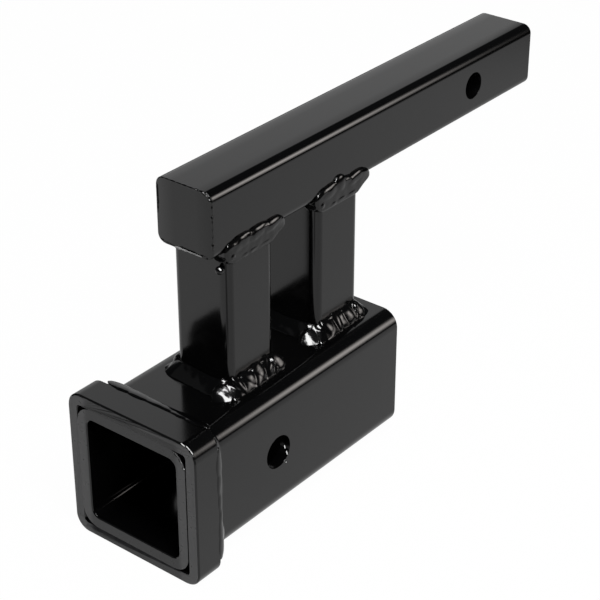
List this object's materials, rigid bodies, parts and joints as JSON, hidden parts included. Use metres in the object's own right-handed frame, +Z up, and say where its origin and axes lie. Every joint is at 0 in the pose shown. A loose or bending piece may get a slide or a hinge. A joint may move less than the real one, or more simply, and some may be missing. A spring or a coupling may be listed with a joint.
{
  "type": "stepped hitch receiver extender",
  "caption": "Welded steel hitch receiver extender: a square shank bar on two posts above a larger open receiver tube with a collared mouth.",
  "frame": {"origin": "centre of the pin hole through the shank bar", "axes": "+Y along the shank towards the vehicle, away from the receiver's mouth; +Z up; +X to the right seen from the mouth, along both pin holes"},
  "size_m": [0.0751, 0.2835, 0.1706],
  "materials": {
    "cap_weld_coat": "semi-gloss black powder coat",
    "collar_coat": "semi-gloss black powder coat",
    "collar_weld_coat": "semi-gloss black powder coat",
    "foot_weld_coat": "semi-gloss black powder coat",
    "post_coat": "semi-gloss black powder coat",
    "shank_coat": "semi-gloss black powder coat",
    "tube_coat": "semi-gloss black powder coat"
  },
  "bodies": {
    "root": {"shank_bar": "shank_coat", "front_post": "post_coat", "rear_post": "post_coat", "receiver_tube": "tube_coat", "mouth_collar": "collar_coat", "front_post_front_weld": "foot_weld_coat", "front_post_right_weld": "foot_weld_coat", "front_post_rear_weld": "foot_weld_coat", "front_post_left_weld": "foot_weld_coat", "front_post_upper_right_weld": "cap_weld_coat", "front_post_upper_left_weld": "cap_weld_coat", "rear_post_front_weld": "foot_weld_coat", "rear_post_right_weld": "foot_weld_coat", "rear_post_rear_weld": "foot_weld_coat", "rear_post_left_weld": "foot_weld_coat", "rear_post_upper_right_weld": "cap_weld_coat", "rear_post_upper_left_weld": "cap_weld_coat", "collar_top_weld": "collar_weld_coat", "collar_right_weld": "collar_weld_coat", "collar_bottom_weld": "collar_weld_coat", "collar_left_weld": "collar_weld_coat"}
  },
  "joints": []
}
